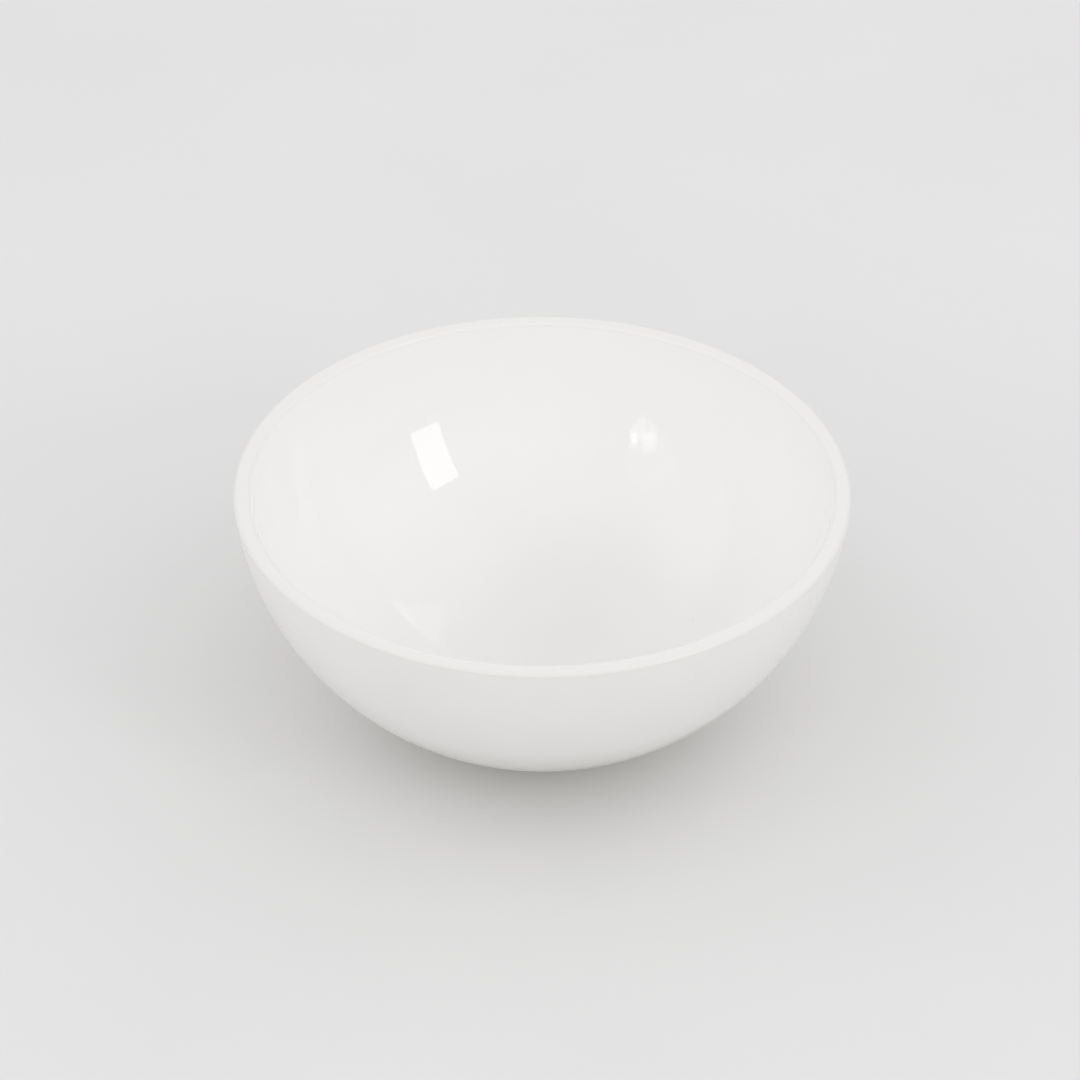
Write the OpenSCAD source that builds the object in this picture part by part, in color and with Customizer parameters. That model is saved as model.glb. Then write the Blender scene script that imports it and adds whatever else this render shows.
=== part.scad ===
// Evaporating dish: a deep round porcelain bowl without a pouring lip.
// Millimetres, +Z up, origin at the centre of the flat foot.
// The wall is a section revolved about Z, bounded by two spheres whose centres lie on Z.

/* [Bowl] */
// Outside diameter across the rim
rim_d = 100; // [90:1:110]
// How far the outside of the wall leans out from upright at the rim, in degrees
wall_lean = 6; // [4:0.5:9]
// Diameter of the flat foot
foot_d = 24; // [18:1:28]
// Thickness of the base at its centre
base_t = 2.7; // [2:0.1:4]

/* [Rim] */
// Width of the rim, from the outside wall to the inside wall
rim_w = 2.7; // [2.2:0.1:3.6]
// Radius of the rim's two rounded corners
rim_round = 0.6; // [0.5:0.05:0.9]

/* [Glaze] */
// Thickness of the glaze coats
glaze_t = 0.25; // [0.15:0.05:0.35]
// Diameter of the patch round the foot that is left without glaze
bare_d = 32; // [32:1:40]

/* [Hidden] */

rim_r = rim_d / 2;

// The outside sphere is tangent to the rim's outer corner, and under the glaze it ends at the foot.
outer_way = [cos(wall_lean), -sin(wall_lean)];
outer_r = (rim_r - rim_round) / cos(wall_lean) + rim_round;
outer_z = sqrt(pow(outer_r - glaze_t, 2) - pow(foot_d / 2, 2));

// Centres of the rim's rounded corners, and the height of the flat above them
corner_z = outer_z - (rim_r - rim_round) * tan(wall_lean);
outer_corner = [rim_r - rim_round, corner_z];
inner_corner = [rim_r - rim_w + rim_round, corner_z];
height = corner_z + rim_round;

// The inside sphere is tangent to the rim's inner corner and touches the top of the base.
inner_z = (pow(norm(inner_corner), 2) - pow(base_t - rim_round, 2)) / (2 * (height - base_t));
inner_r = inner_z - base_t;
inner_way = ([0, inner_z] - inner_corner) / norm([0, inner_z] - inner_corner);

// The outer glaze ends at this angle from straight down.
bare_angle = asin(bare_d / 2 / outer_r);

// A corner's arc stands this much proud of its neighbours, so that it crosses them cleanly.
overshoot = 0.01;

// How far cutting shapes run past the section
past = 4;

porcelain_colour = [0.93, 0.92, 0.89];
inner_colour = [0.95, 0.94, 0.93];
outer_colour = [0.90, 0.89, 0.87];

$fn = 180;

// A disc of the section about a sphere's centre on the axis
module disc(centre_z, radius) {
    translate([0, centre_z]) circle(radius);
}

// The waste outside a rounded corner of the rim. way leads from its centre to its wall.
module corner_waste(centre, way, inset) {
    outward = sign(way[0]) * past;
    difference() {
        polygon([
            centre,
            centre + past * way,
            centre + [outward, past],
            centre + [0, past]
        ]);
        translate(centre) circle(rim_round + overshoot - inset);
    }
}

// The bowl's section, drawn in from its glazed outline by inset
module wall_section(inset) {
    difference() {
        intersection() {
            disc(outer_z, outer_r - inset);
            square([outer_r, height - inset]);
        }
        disc(inner_z, inner_r + inset);
        corner_waste(outer_corner, outer_way, inset);
        corner_waste(inner_corner, inner_way, inset);
    }
}

// The directions that the outer glaze faces, from a low angle up to the rim's outer corner
module outer_sector(low_angle) {
    reach = outer_r + past;
    translate([0, outer_z]) polygon([
        [0, 0],
        reach * [sin(low_angle), -cos(low_angle)],
        [reach, -reach],
        reach * outer_way
    ]);
}

// The fired porcelain, bare on its foot and covered everywhere else
module porcelain_body() {
    color(porcelain_colour) rotate_extrude() wall_section(glaze_t);
}

// The coat over the inside and the rim, as far as the rim's outer corner
module inner_glaze() {
    color(inner_colour) rotate_extrude() difference() {
        wall_section(0);
        wall_section(glaze_t);
        difference() {
            outer_sector(0);
            disc(outer_z, outer_r - glaze_t);
        }
    }
}

// The coat over the outside, from the rim's outer corner to the bare patch
module outer_glaze() {
    color(outer_colour) rotate_extrude() intersection() {
        difference() {
            disc(outer_z, outer_r);
            disc(outer_z, outer_r - glaze_t);
        }
        outer_sector(bare_angle);
    }
}

porcelain_body();
inner_glaze();
outer_glaze();
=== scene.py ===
import math

import bmesh
import bpy
from mathutils import Matrix, Vector


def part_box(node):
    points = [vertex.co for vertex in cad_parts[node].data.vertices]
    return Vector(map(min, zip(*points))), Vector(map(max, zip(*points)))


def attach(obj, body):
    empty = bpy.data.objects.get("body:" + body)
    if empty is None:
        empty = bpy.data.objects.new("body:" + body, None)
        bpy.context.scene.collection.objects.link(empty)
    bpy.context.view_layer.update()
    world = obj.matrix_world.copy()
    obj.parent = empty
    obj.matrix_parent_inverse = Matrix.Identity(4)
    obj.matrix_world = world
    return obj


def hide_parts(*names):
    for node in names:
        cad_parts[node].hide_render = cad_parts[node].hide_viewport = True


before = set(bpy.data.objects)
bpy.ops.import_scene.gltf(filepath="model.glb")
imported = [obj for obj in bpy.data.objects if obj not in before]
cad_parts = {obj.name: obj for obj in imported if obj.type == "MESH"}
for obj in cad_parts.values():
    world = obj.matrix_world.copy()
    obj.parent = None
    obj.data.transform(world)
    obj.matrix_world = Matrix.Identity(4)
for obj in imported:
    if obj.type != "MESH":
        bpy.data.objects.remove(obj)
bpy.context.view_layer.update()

# ---------------------------------------------------------------- sizes, in metres

MM = 0.001
RIM_WIDTH = 2.7 * MM
CORNER = 0.6 * MM  # radius of the rim's rounded corners
WALL_LEAN = math.radians(6)  # how far the outside leans out at the rim
RAGGED = 0.45 * MM  # how far the outer glaze's lower edge wanders upwards
RAGGED_WAVES = [(0.25, 3, 1.0), (0.15, 8, 2.1), (0.1, 19, 0.4)]  # share, waves round, phase
BEAD = 0.3 * MM  # length of the rounding along that edge

inner_low, inner_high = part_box("inner_glaze")
body_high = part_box("porcelain_body")[1]
outer_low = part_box("outer_glaze")[0]

height = inner_high.z
rim_radius = min(inner_high.x, inner_high.y)  # the CAD rim is faceted, so the two differ a little
glaze = height - body_high.z  # thickness of the glaze
base_top = inner_low.z + glaze  # the inside's lowest point, on top of its glaze
bare_height = outer_low.z  # the outer glaze ends this far up

corner_z = height - CORNER
outer_corner = Vector((rim_radius - CORNER, corner_z))
inner_corner = Vector((rim_radius - RIM_WIDTH + CORNER, corner_z))

outer_radius = outer_corner.x / math.cos(WALL_LEAN) + CORNER
outer_centre = corner_z + outer_corner.x * math.tan(WALL_LEAN)
inner_centre = (inner_corner.length_squared - (base_top - CORNER) ** 2) / (2 * (height - base_top))
inner_radius = inner_centre - base_top
foot_radius = math.sqrt((outer_radius - glaze) ** 2 - outer_centre**2)

# Angles in the section, from the +r axis: straight down is -90 degrees.
DOWN = -math.pi / 2
UP = math.pi / 2
outer_top_angle = -WALL_LEAN
inner_top_angle = math.atan2(corner_z - inner_centre, inner_corner.x)
foot_angle = -math.asin(outer_centre / (outer_radius - glaze))
bare_angle = -math.asin((outer_centre - bare_height) / outer_radius)

# How finely the meshes are cut
AROUND = 360
WALL_POINTS = 90
HIDDEN_WALL_POINTS = 60
CORNER_POINTS = 24
HIDDEN_CORNER_POINTS = 8
BEAD_POINTS = 9
FOOT_RINGS = 12
SAME_POINT = 0.0001 * MM  # points nearer than this are one point


# ---------------------------------------------------------------- meshes

def arc_point(centre_r, centre_z, radius, angle):
    """A point (r, z) of the section."""
    return (centre_r + radius * math.cos(angle), centre_z + radius * math.sin(angle))


def arc(centre_r, centre_z, radius, start, end, count):
    """Points along an arc of the section, ends included."""
    steps = [start + (end - start) * i / (count - 1) for i in range(count)]
    return [arc_point(centre_r, centre_z, radius, angle) for angle in steps]


def rim_corner(centre, inset, start, end, count):
    return arc(centre.x, centre.y, CORNER - inset, start, end, count)


def inside_wall(inset, start, end, count):
    """The wall of the bowl's inside, offset into the porcelain by inset."""
    return arc(0, inner_centre, inner_radius + inset, start, end, count)


def outside_wall(inset, start, end, count=WALL_POINTS):
    """The wall of the bowl's outside, offset into the porcelain by inset."""
    return arc(0, outer_centre, outer_radius - inset, start, end, count)


def over_the_rim(inset, count):
    """From the inside wall's top, over the rim, to the outside wall's top."""
    inner_turn = rim_corner(inner_corner, inset, inner_top_angle + math.pi, UP, count)
    outer_turn = rim_corner(outer_corner, inset, UP, outer_top_angle, count)
    return inner_turn + outer_turn


def down_the_inside():
    """The surface between body and inner glaze: from the outside wall's top to the axis."""
    rim = list(reversed(over_the_rim(glaze, HIDDEN_CORNER_POINTS)))
    return rim + inside_wall(glaze, inner_top_angle, DOWN, HIDDEN_WALL_POINTS)


def ragged_edge(turn):
    """The angle of the outer glaze's lower edge, which wanders a little as it goes round."""
    wander = sum(share * math.sin(waves * turn + phase) for share, waves, phase in RAGGED_WAVES)
    return bare_angle + RAGGED * (0.5 + wander) / outer_radius


def beaded_edge(edge_angle):
    """Rounds the glaze over from its hidden side to its shown side."""
    points = []
    for i in range(BEAD_POINTS):
        a = math.pi / 2 * i / (BEAD_POINTS - 1)
        inset = glaze * (1 - math.sin(a))
        angle = edge_angle + BEAD * (1 - math.cos(a)) / outer_radius
        points.append(arc_point(0, outer_centre, outer_radius - inset, angle))
    return points


def without_repeats(outline):
    kept = [outline[0]]
    for point in outline[1:]:
        if math.dist(point, kept[-1]) > SAME_POINT:
            kept.append(point)
    return kept


def rings_of(mesh, outline_at):
    """One ring of vertices for each point of the outline, or a single vertex on the axis."""
    turns = [2 * math.pi * k / AROUND for k in range(AROUND)]
    outlines = [without_repeats(outline_at(turn)) for turn in turns]
    rings = []
    for i, (r, z) in enumerate(outlines[0]):
        if r < SAME_POINT:
            rings.append([mesh.verts.new((0, 0, z))])
            continue
        ring = []
        for turn, outline in zip(turns, outlines):
            r, z = outline[i]
            ring.append(mesh.verts.new((r * math.cos(turn), r * math.sin(turn), z)))
        rings.append(ring)
    return rings


def join_rings(mesh, low, high):
    for k in range(AROUND):
        n = (k + 1) % AROUND
        if len(low) == 1:
            corners = (low[0], high[n], high[k])
        elif len(high) == 1:
            corners = (low[k], low[n], high[0])
        else:
            corners = (low[k], low[n], high[n], high[k])
        mesh.faces.new(corners)


def lathe(name, outline_at, closed, crisp_degrees):
    """Revolves outline_at(turn) about Z. An open outline starts and ends on the axis.

    Edges sharper than crisp_degrees stay crisp, and the rest are smooth.
    """
    mesh = bmesh.new()
    rings = rings_of(mesh, outline_at)
    for low, high in zip(rings, rings[1:]):
        join_rings(mesh, low, high)
    if closed:
        join_rings(mesh, rings[-1], rings[0])
    bmesh.ops.recalc_face_normals(mesh, faces=mesh.faces)
    piece = new_object(name, mesh)
    piece.data.polygons.foreach_set("use_smooth", [True] * len(piece.data.polygons))
    piece.data.set_sharp_from_angle(angle=math.radians(crisp_degrees))
    return piece


def new_object(name, mesh):
    data = bpy.data.meshes.new(name)
    mesh.to_mesh(data)
    mesh.free()
    piece = bpy.data.objects.new(name, data)
    bpy.context.scene.collection.objects.link(piece)
    return piece


def stand_for(piece, node, material):
    piece.data.materials.append(material)
    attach(piece, "root")
    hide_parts(node)


def dish_body():
    foot = [(foot_radius * i / FOOT_RINGS, 0) for i in range(FOOT_RINGS + 1)]
    outline = foot + outside_wall(glaze, foot_angle, outer_top_angle) + down_the_inside()
    piece = lathe("dish_body", lambda turn: outline, closed=False, crisp_degrees=30)
    stand_for(piece, "porcelain_body", biscuit_material())


def glaze_inside():
    shown = inside_wall(0, DOWN, inner_top_angle, WALL_POINTS) + over_the_rim(0, CORNER_POINTS)
    outline = shown + down_the_inside()
    piece = lathe("glaze_inside", lambda turn: outline, closed=False, crisp_degrees=60)
    stand_for(piece, "inner_glaze", inner_glaze_material())


def glaze_outside():
    def outline_at(turn):
        edge = ragged_edge(turn)
        hidden = outside_wall(glaze, outer_top_angle, edge)
        shown = outside_wall(0, edge + BEAD / outer_radius, outer_top_angle)
        return hidden + beaded_edge(edge) + shown

    piece = lathe("glaze_outside", outline_at, closed=True, crisp_degrees=60)
    stand_for(piece, "outer_glaze", outer_glaze_material())


# ---------------------------------------------------------------- node trees

class Graph:
    """The node tree of a material or of the sky, under construction."""

    def __init__(self, owner, coordinates):
        owner.use_nodes = True
        self.tree = owner.node_tree
        self.place = self.tree.nodes.new("ShaderNodeTexCoord").outputs[coordinates]

    def feed(self, socket, value):
        if isinstance(value, bpy.types.NodeSocket):
            self.tree.links.new(value, socket)
        elif isinstance(value, tuple) and socket.type == "RGBA":
            socket.default_value = (*value, 1)
        else:
            socket.default_value = value

    def add(self, kind, output, **inputs):
        node = self.tree.nodes.new(kind)
        for name, value in inputs.items():
            self.feed(node.inputs[name.replace("_", " ")], value)
        return node.outputs[output]

    def rescale(self, value, low, high, new_low, new_high, kind="LINEAR"):
        node = self.tree.nodes.new("ShaderNodeMapRange")
        node.interpolation_type = kind
        settings = (value, low, high, new_low, new_high)
        for socket, setting in zip(node.inputs[:5], settings):
            self.feed(socket, setting)
        return node.outputs["Result"]

    def maths(self, operation, *values, kind="ShaderNodeMath"):
        node = self.tree.nodes.new(kind)
        node.operation = operation
        for socket, value in zip(node.inputs, values):
            self.feed(socket, value)
        return node.outputs["Value"]

    def vector_maths(self, operation, *vectors):
        return self.maths(operation, *vectors, kind="ShaderNodeVectorMath")

    def blend_values(self, factor, first, second):
        return self.add("ShaderNodeMix", "Result", Factor=factor, A=first, B=second)

    def up(self):
        """The Z coordinate: the height in a material, the sine of the elevation in the sky."""
        return self.add("ShaderNodeSeparateXYZ", "Z", Vector=self.place)


class Surface(Graph):
    """A material, measured in object coordinates (metres)."""

    def __init__(self, name):
        self.material = bpy.data.materials.new(name)
        super().__init__(self.material, "Object")
        self.shader = self.tree.nodes["Principled BSDF"]

    def noise(self, size, detail=2.0, where=None):
        """Soft cloudy noise with features of about this size."""
        return self.add(
            "ShaderNodeTexNoise", "Fac", Vector=where or self.place, Scale=1 / size, Detail=detail
        )

    def stretched(self, x, y, z):
        return self.add("ShaderNodeMapping", "Vector", Vector=self.place, Scale=(x, y, z))

    def distance_from_axis(self):
        return self.vector_maths("LENGTH", self.stretched(1, 1, 0))

    def blend(self, factor, first, second):
        """A mix of two colours. A Mix node's colour sockets are inputs 6 and 7 and output 2."""
        node = self.tree.nodes.new("ShaderNodeMix")
        node.data_type = "RGBA"
        self.feed(node.inputs["Factor"], factor)
        self.feed(node.inputs[6], first)
        self.feed(node.inputs[7], second)
        return node.outputs[2]

    def specks(self, spacing, size, share):
        """1 inside small round specks, of which only this share of the cells has one."""
        cells = self.tree.nodes.new("ShaderNodeTexVoronoi")
        self.feed(cells.inputs["Vector"], self.place)
        self.feed(cells.inputs["Scale"], 1 / spacing)
        reach = size / spacing
        near = self.rescale(cells.outputs["Distance"], 0.35 * reach, 0.7 * reach, 1, 0)
        lot = self.add("ShaderNodeSeparateColor", "Red", Color=cells.outputs["Color"])
        return self.maths("MULTIPLY", near, self.maths("LESS_THAN", lot, share))

    def bump(self, relief, depth, under=None):
        node = self.tree.nodes.new("ShaderNodeBump")
        self.feed(node.inputs["Height"], relief)
        self.feed(node.inputs["Distance"], depth)
        if under is not None:
            self.feed(node.inputs["Normal"], under)
        return node.outputs["Normal"]

    def finish(self, colour, roughness, normal, ior=1.5):
        self.feed(self.shader.inputs["Base Color"], colour)
        self.feed(self.shader.inputs["Roughness"], roughness)
        self.feed(self.shader.inputs["Normal"], normal)
        self.shader.inputs["IOR"].default_value = ior
        return self.material


# ---------------------------------------------------------------- materials

INSIDE_CLEAR = (0.935, 0.926, 0.918)
INSIDE_MILKY = (0.926, 0.916, 0.906)
INSIDE_SPECK = (0.5, 0.42, 0.34)
RIM_TOP = (0.875, 0.86, 0.845)  # the glaze is thinner over the rim, so it looks creamier; it is also darkened as painted shade for the light the up-facing rim catches
# painted shade on the rim's rounded outer corner, which would otherwise catch a bright line of
# light
RIM_EDGE_PAINTED_SHADE = (0.83, 0.812, 0.79)

# The same glaze as the inside, set darker as painted shade for the dimmer light on the outside
OUTSIDE_CLEAR = (0.872, 0.861, 0.845)
OUTSIDE_MILKY = (0.858, 0.846, 0.828)
OUTSIDE_SPECK = (0.45, 0.38, 0.3)
# painted shade: a darker tone for the outside's lower part, where less light reaches it
OUTSIDE_PAINTED_SHADE = (0.715, 0.692, 0.655)
OUTSIDE_THIN = (0.74, 0.68, 0.6)
PAINTED_SHADE_FROM, PAINTED_SHADE_TO = 7 * MM, 22 * MM  # heights between which the painted shade on the outside's lower part fades out
THIN_BAND = 1.6 * MM  # how far above its edge the outer glaze is thin

BISCUIT_PALE = (0.79, 0.745, 0.68)
BISCUIT_WARM = (0.73, 0.675, 0.6)
BISCUIT_GRAIN = (0.66, 0.6, 0.53)
BISCUIT_SPECK = (0.34, 0.27, 0.2)
BISCUIT_GROUND = (0.58, 0.55, 0.51)

FLOOR_PALE = (0.81, 0.81, 0.81)
FLOOR_SHADE = (0.79, 0.79, 0.79)


def glaze_surface(graph, clear, milky, speck):
    """Fired glaze: faintly clouded, with a few specks, and not quite flat."""
    clouds = graph.rescale(graph.noise(17 * MM, 3.0), 0.35, 0.65, 0, 1)
    colour = graph.blend(clouds, clear, milky)
    specks = graph.specks(spacing=3.2 * MM, size=0.22 * MM, share=0.1)
    colour = graph.blend(graph.maths("MULTIPLY", specks, 0.35), colour, speck)
    slump = graph.bump(graph.noise(13 * MM, 1.0), 0.04 * MM)
    normal = graph.bump(graph.noise(1.1 * MM, 1.0), 0.0009 * MM, under=slump)
    return colour, normal


def glaze_roughness(graph, smoothest, roughest):
    return graph.rescale(graph.noise(9 * MM), 0.3, 0.7, smoothest, roughest)


def inner_glaze_material():
    graph = Surface("glaze_in")
    colour, normal = glaze_surface(graph, INSIDE_CLEAR, INSIDE_MILKY, INSIDE_SPECK)
    level = graph.up()
    on_rim = graph.rescale(level, height - 0.8 * MM, height - 0.2 * MM, 0, 1)
    # Partly painted shade: the rim's top and corners take the darker, creamier RIM_TOP tone
    colour = graph.blend(on_rim, colour, RIM_TOP)
    # Painted shade: the rim's outer corner is darkened
    painted_shade_edge = graph.rescale(graph.distance_from_axis(), rim_radius - 0.7 * MM, rim_radius, 0, 1)
    colour = graph.blend(painted_shade_edge, colour, RIM_EDGE_PAINTED_SHADE)
    near_rim = graph.rescale(level, height - 4 * MM, height - 1 * MM, 0, 0.22)
    roughness = graph.maths("ADD", glaze_roughness(graph, 0.012, 0.03), near_rim)
    return graph.finish(colour, roughness, normal)


def outer_glaze_material():
    graph = Surface("glaze_out")
    colour, normal = glaze_surface(graph, OUTSIDE_CLEAR, OUTSIDE_MILKY, OUTSIDE_SPECK)
    wander = graph.rescale(graph.noise(5 * MM), 0.3, 0.7, -0.6 * MM, 0.6 * MM)
    level = graph.maths("ADD", graph.up(), wander)
    # Painted shade: the outside gets darker towards the bottom
    low = graph.rescale(level, PAINTED_SHADE_FROM, PAINTED_SHADE_TO, 1, 0)
    colour = graph.blend(low, colour, OUTSIDE_PAINTED_SHADE)
    thin = graph.rescale(level, bare_height, bare_height + THIN_BAND, 0.6, 0)
    colour = graph.blend(thin, colour, OUTSIDE_THIN)
    dry = graph.maths("MULTIPLY", thin, 0.25)
    roughness = graph.maths("ADD", glaze_roughness(graph, 0.13, 0.2), dry)
    return graph.finish(colour, roughness, normal)


def biscuit_material():
    """Unglazed porcelain: matt, creamy and fine grained, with the foot ground flat."""
    graph = Surface("biscuit")
    clouds = graph.rescale(graph.noise(6 * MM, 4.0), 0.3, 0.7, 0, 1)
    colour = graph.blend(clouds, BISCUIT_PALE, BISCUIT_WARM)
    grain = graph.noise(0.35 * MM, 3.0)
    colour = graph.blend(graph.rescale(grain, 0.45, 0.75, 0, 0.35), colour, BISCUIT_GRAIN)
    specks = graph.specks(spacing=1.5 * MM, size=0.2 * MM, share=0.22)
    colour = graph.blend(graph.maths("MULTIPLY", specks, 0.7), colour, BISCUIT_SPECK)
    on_flat = graph.rescale(graph.up(), 0.02 * MM, 0.12 * MM, 1, 0)
    scratches = graph.noise(2.5 * MM, 3.0, where=graph.stretched(1, 14, 1))
    worn = graph.maths("MULTIPLY", on_flat, graph.rescale(scratches, 0.5, 0.62, 0, 0.5))
    colour = graph.blend(worn, colour, BISCUIT_GROUND)
    roughness = graph.rescale(grain, 0.3, 0.7, 0.62, 0.85)
    grainy = graph.bump(grain, 0.02 * MM)
    normal = graph.bump(graph.maths("MULTIPLY", on_flat, scratches), 0.03 * MM, under=grainy)
    return graph.finish(colour, roughness, normal)


def floor_material():
    graph = Surface("floor")
    clouds = graph.rescale(graph.noise(90 * MM, 3.0), 0.3, 0.7, 0, 1)
    colour = graph.blend(clouds, FLOOR_PALE, FLOOR_SHADE)
    roughness = graph.rescale(graph.noise(25 * MM), 0.3, 0.7, 0.75, 0.9)
    normal = graph.bump(graph.noise(0.8 * MM), 0.01 * MM)
    return graph.finish(colour, roughness, normal, ior=1.3)


# ---------------------------------------------------------------- studio

CAMERA_ELEVATION = math.radians(36.45)
CAMERA_DISTANCE = 0.570
CAMERA_ROLL = math.radians(0.16)
SENSOR = 36  # mm
LENS = 115.8  # mm
AIM = Vector((-0.32 * MM, 0, height - 11.6 * MM))

FLOOR_RADIUS = 6.0
FLOOR_SEGMENTS = 96
FLOOR_GAP = 0.02 * MM  # keeps the floor and the foot from lying in one plane

SKY = 0.46  # the sky's brightness away from its glows
HORIZON = 0.72  # close to the floor's own brightness
HORIZON_BLEND = (0.02, 0.22)  # it fades out between elevations with these sines
# The sky's soft glows: azimuth from +Y towards +X, elevation, tightness, radiance. The last
# one takes light away overhead.
GLOWS = [
    (180, 45, 4, 0.65),
    (-90, 30, 4, 0.88),
    (90, 45, 4, 0.74),
    (0, 30, 4, 0.42),
    (0, 90, 2, -0.2),
]

LAMP_DISTANCE = 1.3
# Azimuth, elevation, width, height, radiance, roll, shape
WINDOW = (127.5, 28.0, 0.30, 0.52, 2.8, -4, "RECTANGLE")
HAZE = (-126.8, 29.2, 0.5, 0.5, 0.3, 0, "ELLIPSE")

# The other two lamps are stacks of flat panels. A panel is a tuple of its middle across, its
# width, its low and high edges, and its radiance.
PANEL_GAP = 0.004  # each panel stands this much in front of the one before

# A ribbed umbrella: upright panels of uneven height, with its brighter parts over them
UMBRELLA = (-134.6, 22.2)  # azimuth, elevation
UMBRELLA_ROLL = 22
RIB = 1.3  # radiance of the ribs
UMBRELLA_PANELS = [
    (0.115, 0.028, -0.055, 0.115, RIB),
    (0.073, 0.05, -0.1, 0.105, RIB),
    (0.03, 0.03, -0.14, 0.045, RIB),
    (-0.01, 0.046, -0.155, 0.14, RIB),
    (-0.045, 0.018, -0.03, 0.13, RIB),
    (-0.073, 0.034, -0.115, 0.14, RIB),
    (-0.11, 0.036, -0.09, 0.125, RIB),
    (-0.015, 0.23, -0.02, 0.045, 0.85),  # the bright band across
    (0.082, 0.04, -0.02, 0.065, 2.6),  # the flash itself
    (-0.053, 0.075, 0, 0.09, 0.6),  # its glow on the right half
]

# A sail of light behind: strips that narrow and drift aside as they rise
REAR = (49.5, 42.0)  # azimuth, elevation
REAR_ROLL = 21
SAIL_STRIPS = 10
SAIL_STRIP = 0.046  # height of a strip
SAIL_LOW = -0.165  # lower edge of the lowest strip
SAIL_MIDDLE = 0.038  # of the lowest strip
SAIL_DRIFT = 0.005  # sideways, from one strip to the next
SAIL_WIDTH = 0.37  # of the lowest strip
SAIL_TAPER = 0.037  # from one strip to the next
SAIL_RADIANCE = 0.42
SAIL_EXTRAS = [
    (0.035, SAIL_WIDTH, SAIL_LOW, -0.11, 0.2),  # the bright lower edge
    (-0.06, 0.18, SAIL_LOW, -0.07, 0.22),  # its brighter end
    (-0.11, 0.15, 0.31, 0.33, 0.45),  # the thin bar above
]


def direction(azimuth, elevation):
    a, e = math.radians(azimuth), math.radians(elevation)
    return Vector((math.sin(a) * math.cos(e), math.cos(a) * math.cos(e), math.sin(e)))


def facing_away(way):
    """A turn that leads local +Z along way, with local Y upwards."""
    return way.to_track_quat("Z", "Y").to_matrix().to_4x4()


def camera():
    data = bpy.data.cameras.new("camera")
    data.lens = LENS
    data.sensor_width = SENSOR
    eye = bpy.data.objects.new("camera", data)
    bpy.context.scene.collection.objects.link(eye)
    back = Vector((0, -math.cos(CAMERA_ELEVATION), math.sin(CAMERA_ELEVATION)))
    roll = Matrix.Rotation(CAMERA_ROLL, 4, "Z")
    eye.matrix_world = Matrix.Translation(AIM + back * CAMERA_DISTANCE) @ facing_away(back) @ roll
    bpy.context.scene.camera = eye


def softbox(name, azimuth, elevation, width, tall, radiance, roll, shape, shift=(0, 0, 0)):
    """An area light facing the dish. Angles are in degrees, and shift is along its own axes."""
    data = bpy.data.lights.new(name, "AREA")
    data.shape = shape
    data.size = width
    data.size_y = tall
    area = width * tall if shape == "RECTANGLE" else math.pi / 4 * width * tall
    data.energy = radiance * math.pi * area
    lamp = bpy.data.objects.new(name, data)
    bpy.context.scene.collection.objects.link(lamp)
    way = direction(azimuth, elevation)
    turn = facing_away(way) @ Matrix.Rotation(math.radians(roll), 4, "Z")
    lamp.matrix_world = Matrix.Translation(way * LAMP_DISTANCE) @ turn @ Matrix.Translation(shift)
    lamp.visible_camera = False


def panel_lamp(name, place, roll, panels):
    """A lamp made of flat panels, which stand one in front of another so that none is hidden."""
    for layer, (across, width, low, high, radiance) in enumerate(panels):
        shift = (across, (low + high) / 2, -PANEL_GAP * layer)
        softbox(name, *place, width, high - low, radiance, roll, "RECTANGLE", shift)


def sail_strips():
    strips = []
    for step in range(SAIL_STRIPS):
        across = SAIL_MIDDLE - SAIL_DRIFT * step
        width = SAIL_WIDTH - SAIL_TAPER * step
        low = SAIL_LOW + SAIL_STRIP * step
        strips.append((across, width, low, low + SAIL_STRIP, SAIL_RADIANCE))
    return strips


def lamps():
    softbox("window", *WINDOW)
    panel_lamp("umbrella", UMBRELLA, UMBRELLA_ROLL, UMBRELLA_PANELS)
    softbox("haze", *HAZE)
    panel_lamp("rear", REAR, REAR_ROLL, sail_strips() + SAIL_EXTRAS)


def sky():
    """An even pale sky with a few broad, soft glows in it, which meets the floor softly."""
    studio = bpy.data.worlds.new("studio")
    bpy.context.scene.world = studio
    graph = Graph(studio, "Generated")
    brightness = SKY
    for azimuth, elevation, tightness, radiance in GLOWS:
        facing = graph.vector_maths("DOT_PRODUCT", graph.place, direction(azimuth, elevation))
        glow = graph.maths("POWER", graph.maths("MAXIMUM", facing, 0), tightness)
        brightness = graph.maths("MULTIPLY_ADD", glow, radiance, brightness)
    clear = graph.rescale(graph.up(), *HORIZON_BLEND, 0, 1, kind="SMOOTHSTEP")
    background = studio.node_tree.nodes["Background"]
    background.inputs["Color"].default_value = (1, 1, 1, 1)
    graph.feed(background.inputs["Strength"], graph.blend_values(clear, HORIZON, brightness))


def floor():
    mesh = bmesh.new()
    bmesh.ops.create_circle(mesh, cap_ends=True, segments=FLOOR_SEGMENTS, radius=FLOOR_RADIUS)
    ground = new_object("floor", mesh)
    ground.location.z = -FLOOR_GAP
    ground.data.materials.append(floor_material())


def light_paths():
    """A white bowl keeps passing light around inside itself, so the light may bounce often."""
    cycles = bpy.context.scene.cycles
    cycles.max_bounces = 24
    cycles.diffuse_bounces = 12
    cycles.glossy_bounces = 16


# ---------------------------------------------------------------- the scene

camera()
floor()
sky()
lamps()
light_paths()
bpy.context.scene.view_settings.view_transform = "Standard"

dish_body()
glaze_inside()
glaze_outside()
